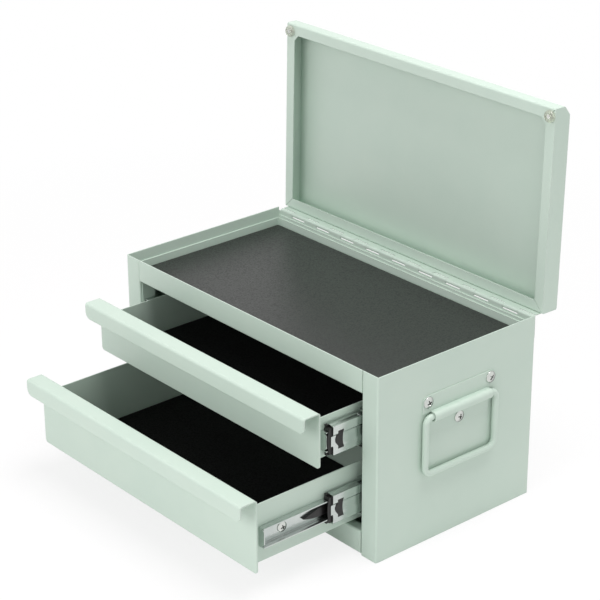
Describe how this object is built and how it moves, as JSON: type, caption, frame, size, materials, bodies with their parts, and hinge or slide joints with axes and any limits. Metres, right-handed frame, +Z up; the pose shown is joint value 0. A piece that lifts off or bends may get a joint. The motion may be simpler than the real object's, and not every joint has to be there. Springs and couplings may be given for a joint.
{
  "type": "tool box",
  "caption": "Small steel tool chest with a hinged lid over a lined till, drawers on ball-bearing slides, full-width folded lips and drop bail handles on the sides.",
  "frame": {"origin": "centre of the underside of the floor, on the surface that the chest stands on", "axes": "+Z up, +X to the right across the front, +Y from the drawers to the back"},
  "size_m": [0.4392, 0.4211, 0.4382],
  "materials": {
    "mint_paint": "satin powder coat",
    "slide_zinc": "zinc-plated strip steel",
    "bright_zinc": "bright zinc plate",
    "black_plastic": "moulded, slightly glossy",
    "clear_bumper": "soft clear plastic, slightly yellow",
    "mat_rubber": "fine grained, matt",
    "drawer_liner": "fine grained, matt"
  },
  "bodies": {
    "cabinet": {"side_panel_right": "mint_paint", "side_panel_left": "mint_paint", "back_panel": "mint_paint", "bottom_pan": "mint_paint", "bottom_rail": "mint_paint", "top_rail": "mint_paint", "till_tray": "mint_paint", "till_mat": "mat_rubber", "slide_strip_right": "mint_paint", "slide_strip_left": "mint_paint", "slide_post_right": "mint_paint", "slide_post_left": "mint_paint", "hinge_body_leaf": "mint_paint", "hinge_pin": "bright_zinc", "handle_plate_right": "mint_paint", "handle_plate_left": "mint_paint", "handle_screws": "bright_zinc", "upper_cabinet_member_right": "slide_zinc", "upper_cabinet_member_left": "slide_zinc", "lower_cabinet_member_right": "slide_zinc", "lower_cabinet_member_left": "slide_zinc"},
    "lid": {"lid_shell": "mint_paint", "hinge_lid_leaf": "mint_paint", "lid_bumpers": "clear_bumper", "bumper_rivets": "bright_zinc"},
    "upper_slide_middles": {"upper_middle_member_left": "slide_zinc", "upper_middle_member_right": "slide_zinc", "upper_slide_stop_left": "black_plastic", "upper_slide_stop_right": "black_plastic"},
    "upper_outer_cages": {"upper_outer_ball_cage_left": "slide_zinc", "upper_outer_ball_cage_right": "slide_zinc"},
    "upper_drawer": {"upper_drawer_box": "mint_paint", "upper_drawer_front": "mint_paint", "upper_drawer_mat": "drawer_liner", "upper_slide_screws": "bright_zinc", "upper_drawer_member_left": "slide_zinc", "upper_drawer_member_right": "slide_zinc"},
    "upper_inner_cages": {"upper_inner_ball_cage_left": "slide_zinc", "upper_inner_ball_cage_right": "slide_zinc"},
    "upper_lever_left": {"upper_release_lever_left": "black_plastic"},
    "upper_lever_right": {"upper_release_lever_right": "black_plastic"},
    "lower_slide_middles": {"lower_middle_member_left": "slide_zinc", "lower_middle_member_right": "slide_zinc", "lower_slide_stop_left": "black_plastic", "lower_slide_stop_right": "black_plastic"},
    "lower_outer_cages": {"lower_outer_ball_cage_left": "slide_zinc", "lower_outer_ball_cage_right": "slide_zinc"},
    "lower_drawer": {"lower_drawer_box": "mint_paint", "lower_drawer_front": "mint_paint", "lower_drawer_mat": "drawer_liner", "lower_slide_screws": "bright_zinc", "lower_drawer_member_left": "slide_zinc", "lower_drawer_member_right": "slide_zinc"},
    "lower_inner_cages": {"lower_inner_ball_cage_left": "slide_zinc", "lower_inner_ball_cage_right": "slide_zinc"},
    "lower_lever_left": {"lower_release_lever_left": "black_plastic"},
    "lower_lever_right": {"lower_release_lever_right": "black_plastic"},
    "bail_left": {"handle_bail_left": "mint_paint"},
    "bail_right": {"handle_bail_right": "mint_paint"}
  },
  "joints": [
    {"name": "lid_hinge", "type": "hinge", "parent": "cabinet", "child": "lid", "pos_m": [0, 0.11505, 0.2089], "axis": [1, 0, 0], "range_deg": [0, 91.2]},
    {"name": "upper_middle_slide", "type": "slide", "parent": "cabinet", "child": "upper_slide_middles", "axis": [0, -1, 0], "range_m": [-0.043, 0.055]},
    {"name": "upper_drawer_slide", "type": "slide", "parent": "upper_slide_middles", "child": "upper_drawer", "axis": [0, -1, 0], "range_m": [-0.013, 0.0885]},
    {"name": "upper_outer_cage_roll", "type": "slide", "parent": "cabinet", "child": "upper_outer_cages", "axis": [0, -1, 0], "range_m": [-0.0215, 0.0275]},
    {"name": "upper_inner_cage_roll", "type": "slide", "parent": "upper_slide_middles", "child": "upper_inner_cages", "axis": [0, -1, 0], "range_m": [-0.0065, 0.04425]},
    {"name": "upper_lever_left_pivot", "type": "hinge", "parent": "upper_drawer", "child": "upper_lever_left", "pos_m": [-0.1746, -0.0555, 0.144], "axis": [1, 0, 0], "range_deg": [-6, 6], "stiffness_Nm_per_rad": 0.02},
    {"name": "upper_lever_right_pivot", "type": "hinge", "parent": "upper_drawer", "child": "upper_lever_right", "pos_m": [0.1746, -0.0555, 0.144], "axis": [1, 0, 0], "range_deg": [-6, 6], "stiffness_Nm_per_rad": 0.02},
    {"name": "lower_middle_slide", "type": "slide", "parent": "cabinet", "child": "lower_slide_middles", "axis": [0, -1, 0], "range_m": [-0.043, 0.055]},
    {"name": "lower_drawer_slide", "type": "slide", "parent": "lower_slide_middles", "child": "lower_drawer", "axis": [0, -1, 0], "range_m": [-0.095, 0.0065]},
    {"name": "lower_outer_cage_roll", "type": "slide", "parent": "cabinet", "child": "lower_outer_cages", "axis": [0, -1, 0], "range_m": [-0.0215, 0.0275]},
    {"name": "lower_inner_cage_roll", "type": "slide", "parent": "lower_slide_middles", "child": "lower_inner_cages", "axis": [0, -1, 0], "range_m": [-0.0475, 0.00325]},
    {"name": "lower_lever_left_pivot", "type": "hinge", "parent": "lower_drawer", "child": "lower_lever_left", "pos_m": [-0.1746, -0.1375, 0.065], "axis": [1, 0, 0], "range_deg": [-6, 6], "stiffness_Nm_per_rad": 0.02},
    {"name": "lower_lever_right_pivot", "type": "hinge", "parent": "lower_drawer", "child": "lower_lever_right", "pos_m": [0.1746, -0.1375, 0.065], "axis": [1, 0, 0], "range_deg": [-6, 6], "stiffness_Nm_per_rad": 0.02},
    {"name": "bail_left_swing", "type": "hinge", "parent": "cabinet", "child": "bail_left", "pos_m": [-0.2142, 0.0015, 0.1475], "axis": [0, 1, 0], "range_deg": [0, 150]},
    {"name": "bail_right_swing", "type": "hinge", "parent": "cabinet", "child": "bail_right", "pos_m": [0.2142, 0.0015, 0.1475], "axis": [0, -1, 0], "range_deg": [0, 150]}
  ],
  "couplings": [
    {"joint": "upper_outer_cage_roll", "follows": "upper_middle_slide", "ratio": 0.5},
    {"joint": "upper_inner_cage_roll", "follows": "upper_drawer_slide", "ratio": 0.5},
    {"joint": "lower_outer_cage_roll", "follows": "lower_middle_slide", "ratio": 0.5},
    {"joint": "lower_inner_cage_roll", "follows": "lower_drawer_slide", "ratio": 0.5}
  ]
}
